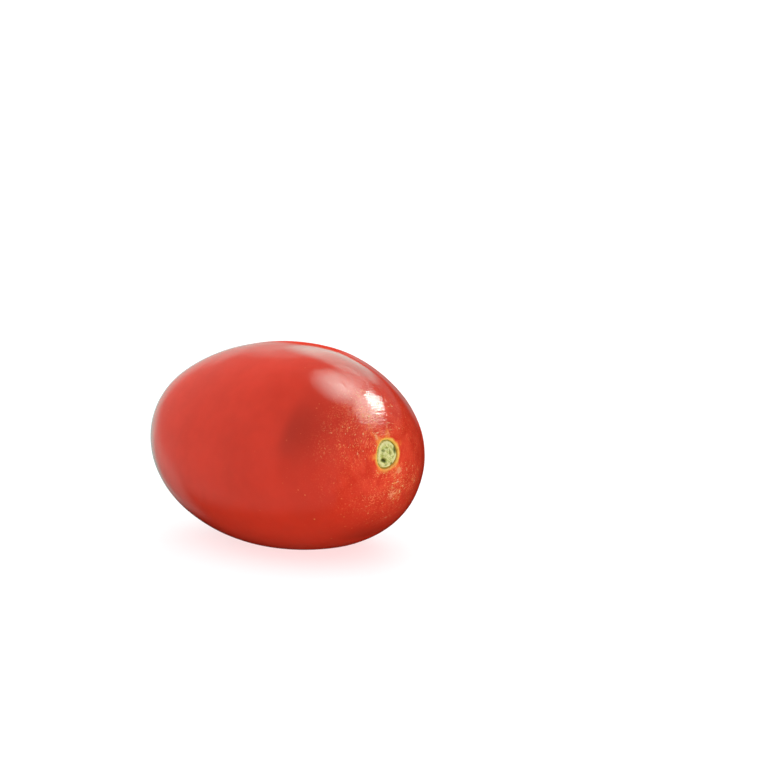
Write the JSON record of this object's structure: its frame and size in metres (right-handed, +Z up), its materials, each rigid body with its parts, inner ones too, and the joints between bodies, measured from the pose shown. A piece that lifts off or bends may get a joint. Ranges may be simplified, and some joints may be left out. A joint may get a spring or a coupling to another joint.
{
  "type": "plum tomato",
  "caption": "Ripe plum tomato lying on its side: a long egg-shaped, softly lobed fruit with a corky stem scar and a small blossom point.",
  "frame": {"origin": "bottom centre of the fruit's box, on the surface that it lies on", "axes": "+X along the fruit towards its stem end, +Z up, +Y across it"},
  "size_m": [0.0812, 0.052, 0.048],
  "materials": {
    "skin": "waxy, smooth and glossy red skin, with fine pale flecks round the stem scar"
  },
  "bodies": {
    "root": {"fruit": "skin"}
  },
  "joints": []
}
